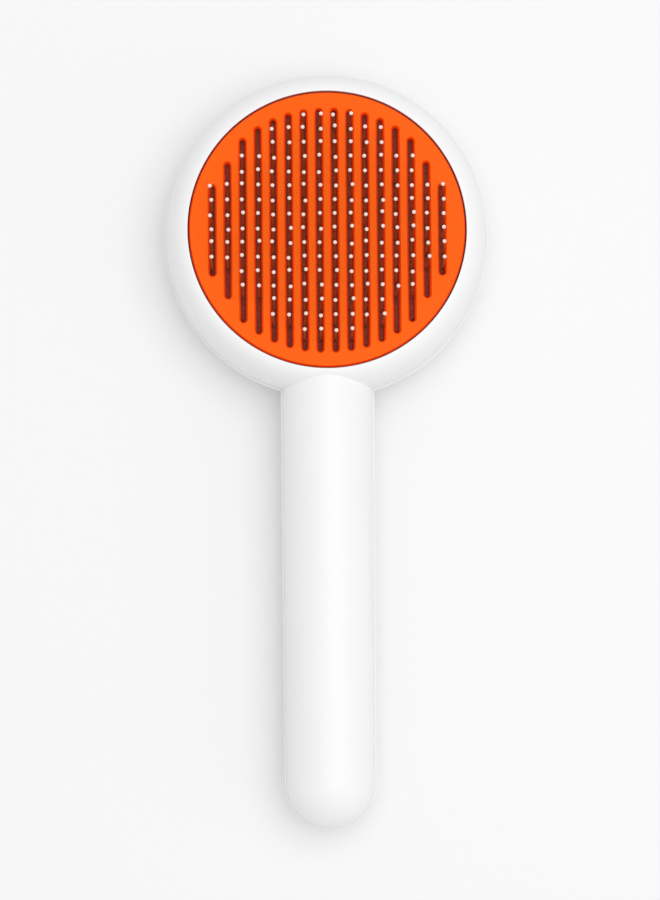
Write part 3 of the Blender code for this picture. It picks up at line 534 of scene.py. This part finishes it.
class BRUSH_OT_front_cover(bpy.types.Operator):
    """The ring round the plate and the front half of the handle, moulded in one"""

    bl_idname = "brush.front_cover"
    bl_label = "Front cover"

    def execute(self, context):
        sizes, look = context.scene.brush_shells, context.scene.brush_look
        ring = mesh_from("front_cover", [(turned(front_ring_profile(sizes), 240), True, True)])
        middle = ring_section(sizes, sizes.wall / 2)
        grip = grip_shell("grip", sizes, 1, sizes.rise, REAR_RIM - FRONT_RIM, FRONT_EDGE, middle)
        cover = combine(new_object("front_cover", ring), [("UNION", grip)])
        settle(cover, finish("white", look), "brush", ["front_shell"], 14.0)
        return {"FINISHED"}


class BRUSH_OT_rear_cover(bpy.types.Operator):
    """The domed back with the button's collar, and the rear half of the handle, moulded in one"""

    bl_idname = "brush.rear_cover"
    bl_label = "Rear cover"

    def execute(self, context):
        sizes, look = context.scene.brush_shells, context.scene.brush_look
        dome = mesh_from("rear_cover", [(turned(rear_dome_profile(sizes), 240), True, True)])
        middle = dome_section(sizes, sizes.wall / 2)
        grip = grip_shell("grip", sizes, -1, 1.0, 0.0, FRONT_EDGE - sizes.parting, middle)
        cover = combine(new_object("rear_cover", dome), [("UNION", grip)])
        settle(cover, finish("white", look), "brush", ["rear_shell"], 14.0)
        return {"FINISHED"}


# ---- ejector plate ---------------------------------------------------------------------------------
def slot_lines(sizes):
    """The x of the slots from the head's axis, and the half length of each: its end lies on a superellipse
    |x|^p + |y|^p = field^p, and the inner slot of each outermost pair keeps only the short_slot share."""
    x = (np.arange(2 * len(COLUMNS)) - len(COLUMNS) + 0.5) * sizes.pitch
    field = PLATE_RADIUS - sizes.rim
    reach = field * (1 - (np.abs(x) / field) ** sizes.field_power) ** (1 / sizes.field_power)
    reach[[1, -2]] *= sizes.short_slot
    return x, reach


def slot_cutters(sizes):
    """Every slot as one solid: a stadium outline at each level, which flares along a quarter of a
    superellipse as it nears the plate's face, w (1 - cos(t)^(2/p)) outwards at
    d (1 - sin(t)^(2/p)) under it."""
    x, reach = slot_lines(sizes)
    half, flare, depth, share = sizes.slot_width / 2, sizes.flare, sizes.flare_depth, 2 / sizes.flare_power
    turn = np.linspace(0, np.pi / 2, 8)
    grow = np.r_[0.0, flare * (1 - np.cos(turn) ** share), flare]
    under = depth * (1 - np.sin(turn) ** share)
    z = np.r_[PLATE_FACE - sizes.thickness - CUT_PAST, PLATE_FACE - under, PLATE_FACE + CUT_PAST]
    arc = np.linspace(0, np.pi, 11)
    cos, sin = np.r_[np.cos(arc), np.cos(arc + np.pi)], np.r_[np.sin(arc), np.sin(arc + np.pi)]
    ends = np.r_[np.ones(11), -np.ones(11)]
    radius = (half + grow)[None, :, None]
    points = np.empty((x.size, z.size, cos.size, 3))
    points[..., 0] = HEAD_X + x[:, None, None] + radius * cos
    points[..., 1] = HEAD_Y - sizes.field_shift + ends * (reach - half)[:, None, None] + radius * sin
    points[..., 2] = z[None, :, None]
    return mesh_from("slots", *capped(points))


def arc_block(inner, outer, middle, half_width, low, high):
    """A block of the skirt's wall: it lies between two radii and two heights, half_width to each side of the
    angle middle."""
    half = np.arcsin(half_width / outer)
    turn = np.linspace(middle - half, middle + half, 17)
    corners = np.array([(inner, low), (outer, low), (outer, high), (inner, high)])
    points = np.empty((turn.size, 4, 3))
    points[..., 0] = HEAD_X + corners[:, 0] * np.cos(turn)[:, None]
    points[..., 1] = HEAD_Y + corners[:, 0] * np.sin(turn)[:, None]
    points[..., 2] = corners[:, 1]
    return points


def skirt_legs(name, inner, outer, low, high, half_width):
    """Four blocks of the skirt's wall, a quarter turn apart."""
    return mesh_from(name, *capped([arc_block(inner, outer, i * np.pi / 2, half_width, low, high)
                                    for i in range(4)]))


def mark_painted_shade(mesh, sizes):
    """Stores the mask of painted shade, how far down a slot's rounding each vertex lies: (face - z) / depth
    held between
    0 and 1. Outside the field of slots it is 1 in the rebate round the plate, painted shade in that recess
    too, and 0 on the rim and the skirt."""
    points = np.empty(len(mesh.vertices) * 3, np.float32)
    mesh.vertices.foreach_get("co", points)
    x, y, z = points.reshape(-1, 3).T
    radius, under = np.hypot(x - HEAD_X, y - HEAD_Y), PLATE_FACE - z
    depth = np.clip(under / sizes.flare_depth, 0, 1)
    outside = radius > PLATE_RADIUS - 2 * MM
    rebate = (radius > PLATE_RADIUS - sizes.rebate - sizes.edge / 2) & (under < sizes.rebate_depth * 1.01)
    depth[outside] = rebate[outside] & (under[outside] > sizes.edge / 2)
    mesh.attributes.new("painted_shade_depth", "FLOAT", "POINT").data.foreach_set("value", depth)


class PlateSizes(bpy.types.PropertyGroup):
    pitch: FloatProperty(name="Slot pitch", description="From slot to slot", default=4.12 * MM, unit="LENGTH")
    slot_width: FloatProperty(name="Slot width", description="Across a slot, under its flare",
                              default=1.35 * MM, unit="LENGTH")
    flare: FloatProperty(name="Flare", description="How far the slots' edges are rounded back",
                         default=0.6 * MM, unit="LENGTH")
    flare_depth: FloatProperty(name="Flare depth", description="How far down that rounding reaches",
                               default=1.6 * MM, unit="LENGTH")
    flare_power: FloatProperty(name="Flare fullness", default=1.4, min=1.0, max=3.0,
                               description="1 is a straight slope, 2 a quarter ellipse")
    rim: FloatProperty(name="Rim", description="Plain rim left outside the slots", default=4.5 * MM,
                       unit="LENGTH")
    field_power: FloatProperty(name="Field power", description="How square the field of slots is",
                               default=2.13, min=1.5, max=4.0)
    field_shift: FloatProperty(name="Field shift", description="How far the slots sit towards the handle",
                               default=0.28 * MM, unit="LENGTH")
    short_slot: FloatProperty(name="Short slot", description="Share of its length that the inner slot of "
                              "each outermost pair keeps", default=0.91, min=0.5, max=1.0)
    thickness: FloatProperty(name="Thickness", description="Of the plate", default=2.2 * MM, unit="LENGTH")
    edge: FloatProperty(name="Edge radius", description="Rounding of the plate's outer edge",
                        default=0.2 * MM, unit="LENGTH")
    rebate: FloatProperty(name="Rebate", description="How far the plate's upper edge stands back",
                          default=0.3 * MM, unit="LENGTH")
    rebate_depth: FloatProperty(name="Rebate depth", description="How far down the plate's edge stands back",
                                default=1.2 * MM, unit="LENGTH")


class BRUSH_OT_ejector_plate(bpy.types.Operator):
    """The orange plate with its slots, skirt and legs"""

    bl_idname = "brush.ejector_plate"
    bl_label = "Ejector plate"

    def execute(self, context):
        sizes, look = context.scene.brush_plate, context.scene.brush_look
        outer = PLATE_RADIUS - SKIRT_STEP
        inner = outer - SKIRT
        under = PLATE_FACE - sizes.thickness
        land, step = PLATE_RADIUS - sizes.rebate, PLATE_FACE - sizes.rebate_depth
        edge = bow((land - sizes.edge, PLATE_FACE), (land, PLATE_FACE - sizes.edge), True, 2.0, 6)
        profile = np.vstack([edge, [(land, PLATE_FACE - sizes.edge), (land, step), (PLATE_RADIUS, step),
                                    (PLATE_RADIUS, under), (outer, under), (outer, SLEEVE_END),
                                    (inner, SLEEVE_END), (inner, under)]])
        plate = new_object("slotted_plate", mesh_from("slotted_plate", *capped([turned(profile, 240)])))
        arm_low, arm_high = span("pusher_frame", 2)
        combine(plate, [
            ("DIFFERENCE", slot_cutters(sizes)),
            ("UNION", skirt_legs("legs", inner, outer, LEG_FOOT, SLEEVE_END + SKIRT, LEG_HALF_WIDTH)),
            ("DIFFERENCE", skirt_legs("windows", inner - CUT_PAST, outer + CUT_PAST, arm_low - WINDOW_GAP,
                                      arm_high + WINDOW_GAP, WINDOW_HALF_WIDTH)),
        ])
        mark_painted_shade(plate.data, sizes)
        settle(plate, finish("orange", look), "ejector", ["ejector_plate"], 32.0)
        return {"FINISHED"}


# ---- pins ------------------------------------------------------------------------------------------
def staple_places(sizes, name, reach, rng):
    """The feet and the tips of a column's staples: rows evenly spaced between the ends of the CAD's column,
    with a small scatter, because bent wire never stands quite true. No tip stands past its slot's end,
    which is reach from the head's axis."""
    (x0, x1), (y0, y1) = span(name, 0), span(name, 1)
    lean = sizes.tip_y - sizes.foot_y
    length = (y1 - y0) - lean
    count = 1 + round(length / sizes.row_pitch)
    rows = HEAD_Y + (np.arange(count) - (count - 1) / 2) * sizes.row_pitch
    foot = np.empty((count, 2, 3))
    foot[..., 0] = (x0 + x1) / 2 + np.array([-1, 1]) * (sizes.leg_gap / 2)
    foot[..., 1] = rows[:, None] + sizes.foot_y
    foot[..., 2] = PIN_FOOT + CROWN_RISE
    tip = foot.copy()
    tip[..., 1] = rows[:, None] + sizes.tip_y
    tip[..., 2] = PIN_TOP - sizes.bead_radius
    spread = np.array([sizes.scatter_x, sizes.scatter_y, sizes.scatter_z])
    tip += np.clip(rng.normal(0, 1, (count, 2, 3)) * spread, -SCATTER_LIMIT * spread,
                   SCATTER_LIMIT * spread)
    limit = reach - TIP_MARGIN * sizes.bead_radius
    tip[..., 1] = np.clip(tip[..., 1], HEAD_Y - limit, HEAD_Y + limit)
    return foot, tip


def tube(path, radius, sides):
    """A tube along each path: a ring of the given radius at every station, square to the path, turned from
    the Y axis, which no pin runs along.
    path is (count, stations, 3), radius (stations,) or (count, stations)."""
    tangent = np.gradient(path, axis=1)
    tangent /= np.linalg.norm(tangent, axis=-1, keepdims=True)
    side = np.cross(tangent, [0.0, 1.0, 0.0])
    side /= np.linalg.norm(side, axis=-1, keepdims=True)
    up = np.cross(side, tangent)
    turn = np.arange(sides) * 2 * np.pi / sides
    ring = (np.cos(turn)[:, None] * side[..., None, :] + np.sin(turn)[:, None] * up[..., None, :])
    return path[..., None, :] + np.asarray(radius)[..., None, None] * ring


def staple_paths(sizes, foot, tip):
    """A staple's path: up one leg from the crown, with a knee above the plate, to the bead, for both legs."""
    knee = foot.copy()
    knee[..., 2] = PLATE_FACE + sizes.knee
    down = (foot - knee) / np.linalg.norm(foot - knee, axis=-1, keepdims=True)
    up = (tip - knee) / np.linalg.norm(tip - knee, axis=-1, keepdims=True)
    corner = [knee + down * KNEE_BEND, knee + (down + up) * KNEE_BEND * KNEE_PULL, knee + up * KNEE_BEND]
    low = foot.copy()
    low[..., 2] += CROWN_BEND
    centre = foot.mean(axis=1, keepdims=True)
    inwards = np.sign(centre - foot) * [1, 0, 0]
    turn = foot + inwards * CROWN_BEND
    mid = (foot + low) / 2 * 0.3 + (low + turn) / 2 * 0.7
    neck = tip - up * (sizes.bead_radius * NECK_SINK)
    legs = np.stack([turn, mid, low, *corner, neck], axis=2)
    return legs, up


def column_meshes(sizes, name, reach, rng):
    """The sheets and caps of a column's wires, and those of its beads."""
    foot, tip = staple_places(sizes, name, reach, rng)
    legs, up = staple_paths(sizes, foot, tip)
    # Both legs of a staple in one path: up the second leg after the first one turned round.
    path = np.concatenate([legs[:, 0, ::-1], legs[:, 1]], axis=1)
    wires = tube(path, np.full(path.shape[1], sizes.wire / 2), 8)
    # A bead is a ball: at angle a from its tip the ring is R sin(a) wide and R cos(a) up the leg's line.
    angle = np.radians([1.0, 28.0, 55.0, 82.0, 109.0, 136.0, 158.0])
    up = up.reshape(-1, 1, 3)
    centre = tip.reshape(-1, 1, 3)
    stations = centre + up * (np.cos(angle) * sizes.bead_radius)[None, :, None]
    beads = tube(stations, np.sin(angle) * sizes.bead_radius, 10)
    return capped(wires), capped(beads)


class PinSizes(bpy.types.PropertyGroup):
    row_pitch: FloatProperty(name="Row pitch", description="From staple to staple", default=3.85 * MM,
                             unit="LENGTH")
    leg_gap: FloatProperty(name="Leg gap", description="Between a staple's two legs", default=4.36 * MM,
                           unit="LENGTH")
    wire: FloatProperty(name="Wire", description="Diameter of the wire", default=0.40 * MM, unit="LENGTH")
    bead_radius: FloatProperty(name="Bead radius", description="Radius of the dipped tips",
                               default=0.56 * MM, unit="LENGTH")
    foot_y: FloatProperty(name="Foot offset", description="Of the rows at the pins' feet",
                          default=-1.2 * MM, unit="LENGTH")
    tip_y: FloatProperty(name="Tip offset", description="Of the rows at the pins' tips", default=1.05 * MM,
                         unit="LENGTH")
    knee: FloatProperty(name="Knee height", description="Of the bend over the plate's face",
                        default=1.0 * MM, unit="LENGTH")
    scatter_x: FloatProperty(name="Scatter across", description="Spread of the tips across the slots",
                             default=0.22 * MM, unit="LENGTH")
    scatter_y: FloatProperty(name="Scatter along", description="Spread of the tips along the slots",
                             default=0.30 * MM, unit="LENGTH")
    scatter_z: FloatProperty(name="Scatter up", description="Spread of the tips in height",
                             default=0.08 * MM, unit="LENGTH")
    seed: IntProperty(name="Seed", description="Of the scatter", default=7)


class BRUSH_OT_pins(bpy.types.Operator):
    """The wire staples of each pair of slots and the beads on their tips"""

    bl_idname = "brush.pins"
    bl_label = "Pins"

    def execute(self, context):
        sizes, look = context.scene.brush_pins, context.scene.brush_look
        rng = np.random.default_rng(sizes.seed)
        _, reach = slot_lines(context.scene.brush_plate)
        for name, ends in zip(COLUMNS, reach.reshape(-1, 2)):
            number = name.rsplit("_", 1)[1]
            wires, beads = column_meshes(sizes, name, ends, rng)
            piece = new_object(f"staples_{number}", mesh_from(f"staples_{number}", *wires))
            settle(piece, finish("wire", look), "brush", [name], 60.0, False)
            tips = new_object(f"beads_{number}", mesh_from(f"beads_{number}", *beads))
            settle(tips, finish("bead", look), "brush", [], 60.0, False)
        return {"FINISHED"}


# ---- cushion, button, spring -----------------------------------------------------------------------
class SmallSizes(bpy.types.PropertyGroup):
    dish: FloatProperty(name="Dish", description="Depth of the button's hollow", default=1.2 * MM,
                        unit="LENGTH")
    button_edge: FloatProperty(name="Button edge", description="Rounding of the button's rim",
                               default=0.8 * MM, unit="LENGTH")
    coil_wire: FloatProperty(name="Spring wire", description="Diameter of the spring's wire",
                             default=0.9 * MM, unit="LENGTH")
    coils: FloatProperty(name="Coils", description="Turns of the spring", default=7.0, min=3.0, max=12.0)


class BRUSH_OT_cushion(bpy.types.Operator):
    """The rubber sheet under the plate, which closes round every pin"""

    bl_idname = "brush.cushion"
    bl_label = "Cushion"

    def execute(self, context):
        look = context.scene.brush_look
        low, high = CUSHION_Z
        flat = CUSHION_RADIUS - CUSHION_EDGE
        edge = bow((CUSHION_RADIUS, high - CUSHION_EDGE), (flat, high), False, 2.0, 4)
        body = turned(np.vstack([[(CUSHION_RADIUS, low)], edge, [(flat, high)]]), 160)
        sheet = new_object("rubber_sheet", mesh_from("rubber_sheet", *capped([body])))
        settle(sheet, finish("rubber", look), "brush", ["pin_cushion"])
        return {"FINISHED"}


class BRUSH_OT_button(bpy.types.Operator):
    """The dished button at the back"""

    bl_idname = "brush.button"
    bl_label = "Button"

    def execute(self, context):
        sizes, look = context.scene.brush_small, context.scene.brush_look
        rim, wall = sizes.button_edge, BUTTON_WALL
        floor = BUTTON_BACK + sizes.dish + wall
        flat = BUTTON_RADIUS - rim
        # The dish is a shallow bowl whose depth falls off as (1 - s^2)^2 towards its edge, so it meets the
        # rim without a corner.
        s = np.linspace(0, 1, 40)
        dish = np.stack([flat * s, BUTTON_BACK + sizes.dish * (1 - s**2) ** 2], -1)
        edge = bow((BUTTON_RADIUS, BUTTON_BACK + rim), (flat, BUTTON_BACK), False, 2.0, 8)[1:][::-1]
        inner = BUTTON_RADIUS - wall
        profile = np.vstack([dish, edge, [(BUTTON_RADIUS, BUTTON_BACK + rim), (BUTTON_RADIUS, BUTTON_FRONT),
                                          (inner, BUTTON_FRONT), (inner, floor), (SPIGOT_RADIUS, floor),
                                          (SPIGOT_RADIUS, floor + SPIGOT_HEIGHT)]])
        body = turned(profile, 160)
        button = new_object("thumb_button", mesh_from("thumb_button", [(body, False, True)], [body[-1]]))
        settle(button, finish("white", look), "ejector", ["push_button"], 30.0)
        return {"FINISHED"}


class BRUSH_OT_spring(bpy.types.Operator):
    """The return spring, with its end turns closed"""

    bl_idname = "brush.spring"
    bl_label = "Spring"

    def execute(self, context):
        sizes, look = context.scene.brush_small, context.scene.brush_look
        wire = sizes.coil_wire
        turn = np.linspace(0, sizes.coils, int(sizes.coils * 32) + 1)
        low, high = SPRING_Z[0] + wire / 2, SPRING_Z[1] - wire / 2
        closed = wire * 1.15
        z = np.interp(turn, [0, 1, sizes.coils - 1, sizes.coils], [low, low + closed, high - closed, high])
        radius = SPRING_RADIUS - wire / 2
        path = np.stack([HEAD_X + radius * np.cos(2 * np.pi * turn),
                         HEAD_Y + radius * np.sin(2 * np.pi * turn), z], -1)
        tangent = np.gradient(path, axis=0)
        tangent /= np.linalg.norm(tangent, axis=-1, keepdims=True)
        out = (path - [HEAD_X, HEAD_Y, 0]) * [1, 1, 0]
        out /= np.linalg.norm(out, axis=-1, keepdims=True)
        up = np.cross(tangent, out)
        angle = np.arange(10) * 2 * np.pi / 10
        rings = path[:, None] + wire / 2 * (np.cos(angle)[:, None] * out[:, None] + np.sin(angle)[:, None]
                                            * up[:, None])
        coil = new_object("coil_spring", mesh_from("coil_spring", *capped([rings])))
        settle(coil, finish("wire", look), "brush", ["return_spring"], 60.0, False)
        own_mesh(coil)
        return {"FINISHED"}


class BRUSH_OT_inner_pieces(bpy.types.Operator):
    """Materials for the pieces inside the head, whose shape in the frame is already right"""

    bl_idname = "brush.inner_pieces"
    bl_label = "Inner pieces"

    def execute(self, context):
        look = context.scene.brush_look
        for name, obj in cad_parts.items():
            if name in ("pin_base", "backing_plate", "pusher_frame"):
                material = finish("nylon", look)
            elif "screw" in name:
                material = finish("zinc", look)
            else:
                continue
            obj.data.materials.clear()
            obj.data.materials.append(material)
        return {"FINISHED"}


# ---- stage -----------------------------------------------------------------------------------------
class Look(bpy.types.PropertyGroup):
    white: FloatVectorProperty(name="White", description="Of the shells and the button", subtype="COLOR",
                               default=linear("#EFEFEF"), min=0, max=1)
    orange: FloatVectorProperty(name="Orange", description="Of the ejector plate", subtype="COLOR",
                                default=linear("#FF6108"), min=0, max=1)
    # The next colour is painted shade: the darker red on the slots' walls and in the rebate round the plate.
    painted_shade_orange: FloatVectorProperty(name="Deep orange", description="Of the slots' walls", subtype="COLOR",
                                     default=linear("#FF4410"), min=0, max=1)
    nylon: FloatVectorProperty(name="Nylon", description="Of the pieces inside", subtype="COLOR",
                               default=linear("#3C3A3A"), min=0, max=1)
    rubber: FloatVectorProperty(name="Rubber", description="Of the cushion", subtype="COLOR",
                                default=linear("#7F2D13"), min=0, max=1)
    steel: FloatVectorProperty(name="Steel", description="Of the wire", subtype="COLOR",
                               default=linear("#8E8882"), min=0, max=1)
    bead: FloatVectorProperty(name="Bead", description="Of the pins' tips", subtype="COLOR",
                              default=linear("#F1DCD2"), min=0, max=1)
    paper: FloatVectorProperty(name="Paper", description="Of the floor", subtype="COLOR",
                               default=linear("#F0F0F0"), min=0, max=1)
    sky: FloatProperty(name="Sky", description="Strength of the even light", default=0.72, min=0)
    top: FloatProperty(name="Top", description="Power of the wide light overhead", default=7.3, min=0)
    side: FloatProperty(name="Side", description="Power of the low light from the right", default=0.5, min=0)


def turn_matrix(x_deg, y_deg, z_deg):
    """Turns about X, then Y, then Z, as one matrix."""
    ax, ay, az = np.radians([x_deg, y_deg, z_deg])
    about_x = np.array([[1, 0, 0], [0, np.cos(ax), -np.sin(ax)], [0, np.sin(ax), np.cos(ax)]])
    about_y = np.array([[np.cos(ay), 0, np.sin(ay)], [0, 1, 0], [-np.sin(ay), 0, np.cos(ay)]])
    about_z = np.array([[np.cos(az), -np.sin(az), 0], [np.sin(az), np.cos(az), 0], [0, 0, 1]])
    return about_z @ about_y @ about_x


class BRUSH_OT_stage(bpy.types.Operator):
    """The floor, the lights and the camera"""

    bl_idname = "brush.stage"
    bl_label = "Stage"

    def execute(self, context):
        scene, look = context.scene, context.scene.brush_look
        line = np.linspace(-FLOOR_REACH, FLOOR_REACH, 3)
        x, y = np.meshgrid(line, line)
        level = np.stack([x, y, 0 * x - FLOOR_DROP], -1)
        floor = new_object("floor", mesh_from("floor", [(level, False, False)]))
        if floor.data.polygons[0].normal.z < 0:
            floor.data.flip_normals()
        floor.data.materials.append(finish("paper", look))

        world = bpy.data.worlds.new("even_light")
        world.use_nodes = True
        background = world.node_tree.nodes["Background"]
        background.inputs["Color"].default_value = (1.0, 1.0, 1.0, 1.0)
        background.inputs["Strength"].default_value = look.sky
        scene.world = world
        for name, power, size, place in (("top", look.top, 1.2, (0.2, 0.1, 1.3)),
                                         ("side", look.side, 0.8, (0.9, -0.35, 0.6))):
            self.add_light(scene, name, power, size, place, (0.0, 0.0, 0.0))

        data = bpy.data.cameras.new("camera")
        data.sensor_width, data.lens = SENSOR_MM, LENS_MM
        data.clip_start, data.clip_end = 0.01, 20.0
        camera = bpy.data.objects.new("camera", data)
        scene.collection.objects.link(camera)
        placed = np.eye(4)
        placed[:3, :3] = turn_matrix(*CAMERA_TURN).T
        placed[:3, 3] = np.add(CAMERA_PLACE, (HEAD_X, HEAD_Y, 0.0))
        camera.matrix_world = Matrix(placed.tolist())
        scene.camera = camera
        scene.view_settings.view_transform = "Standard"
        return {"FINISHED"}

    def add_light(self, scene, name, power, size, place, target):
        """A round soft light of a given width, turned towards the target."""
        data = bpy.data.lights.new(name, "AREA")
        data.energy, data.size, data.shape = power, size, "DISK"
        light = bpy.data.objects.new(name, data)
        scene.collection.objects.link(light)
        light.location = place
        light.rotation_euler = (Vector(target) - Vector(place)).to_track_quat("-Z", "Y").to_euler()


class BRUSH_PT_panel(bpy.types.Panel):
    """Every size and colour, and a button for every piece"""

    bl_label = "Slicker brush"
    bl_idname = "BRUSH_PT_panel"
    bl_space_type = "VIEW_3D"
    bl_region_type = "UI"
    bl_category = "Brush"

    def draw(self, context):
        for group in GROUPS:
            box = self.layout.box()
            for name in group.__annotations__:
                box.prop(getattr(context.scene, GROUPS[group]), name)
        for operator in OPERATORS:
            self.layout.operator(operator.bl_idname)


GROUPS = {ShellSizes: "brush_shells", PlateSizes: "brush_plate", PinSizes: "brush_pins",
          SmallSizes: "brush_small", Look: "brush_look"}
OPERATORS = (BRUSH_OT_stage, BRUSH_OT_front_cover, BRUSH_OT_rear_cover, BRUSH_OT_ejector_plate, BRUSH_OT_pins,
             BRUSH_OT_cushion, BRUSH_OT_button, BRUSH_OT_spring, BRUSH_OT_inner_pieces)


def register():
    for cls in (*GROUPS, *OPERATORS, BRUSH_PT_panel):
        bpy.utils.register_class(cls)
    for cls, name in GROUPS.items():
        setattr(bpy.types.Scene, name, PointerProperty(type=cls))


def unregister():
    for name in GROUPS.values():
        delattr(bpy.types.Scene, name)
    for cls in reversed((*GROUPS, *OPERATORS, BRUSH_PT_panel)):
        bpy.utils.unregister_class(cls)


def main():
    register()
    for operator in OPERATORS:
        group, name = operator.bl_idname.split(".")
        getattr(getattr(bpy.ops, group), name)()


if __name__ == "__main__":
    main()
